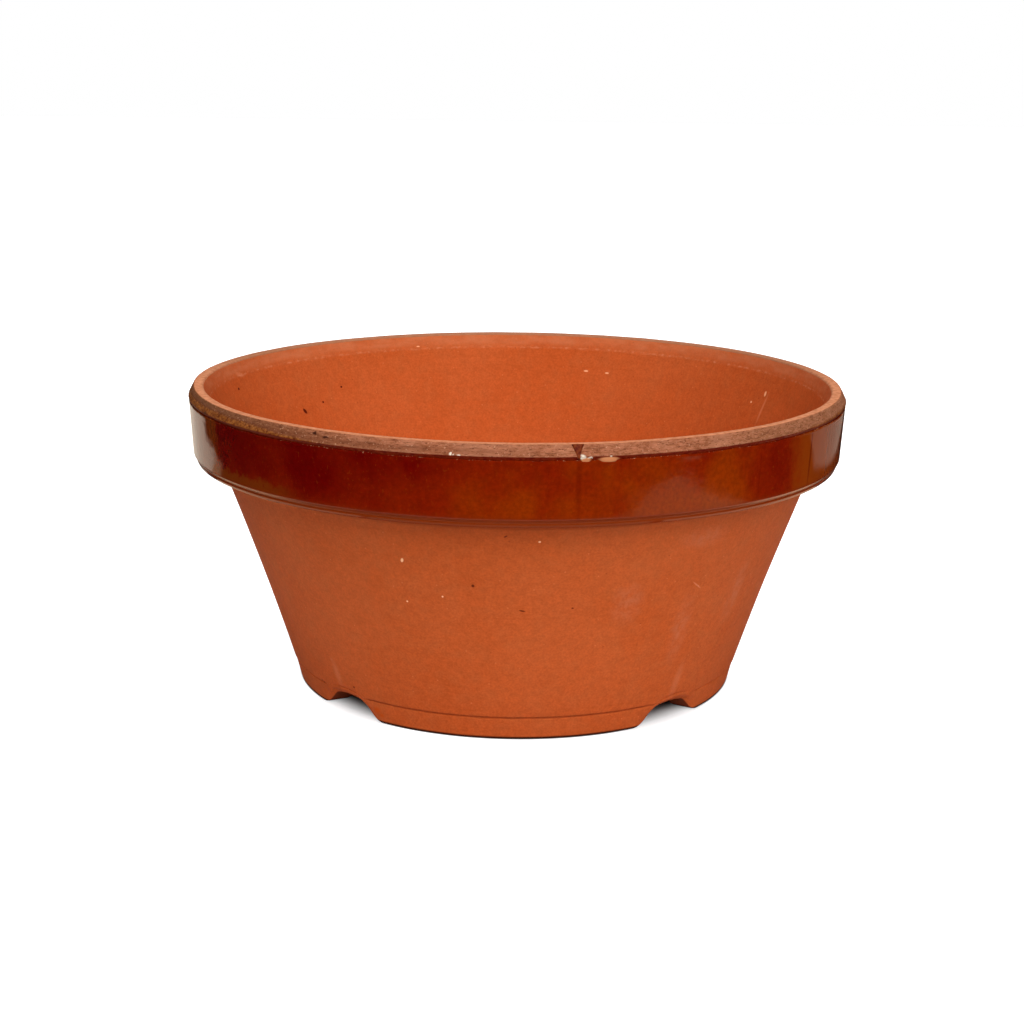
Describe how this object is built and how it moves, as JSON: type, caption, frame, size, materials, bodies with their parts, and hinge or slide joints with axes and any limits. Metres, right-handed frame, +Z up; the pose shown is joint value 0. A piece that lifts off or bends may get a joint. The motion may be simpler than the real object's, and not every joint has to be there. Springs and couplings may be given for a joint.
{
  "type": "terracotta pot",
  "caption": "Wide shallow round clay planting pot with a tapering wall, a glazed collar round the rim, a drainage hole and an arched foot ring.",
  "frame": {"origin": "centre of the foot ring on the ground plane, on the axis that the pot was turned about", "axes": "+Z up along the turning axis, -Y towards the viewer, +X to the viewer's right"},
  "size_m": [0.24, 0.24, 0.1102],
  "materials": {
    "fired_clay": "matte unglazed terracotta",
    "amber_glaze": "glossy amber-brown glaze",
    "dark_glaze": "dark thin glaze run"
  },
  "bodies": {
    "root": {"pot_body": "fired_clay", "rim_glaze": "amber_glaze", "glaze_run": "dark_glaze"}
  },
  "joints": []
}
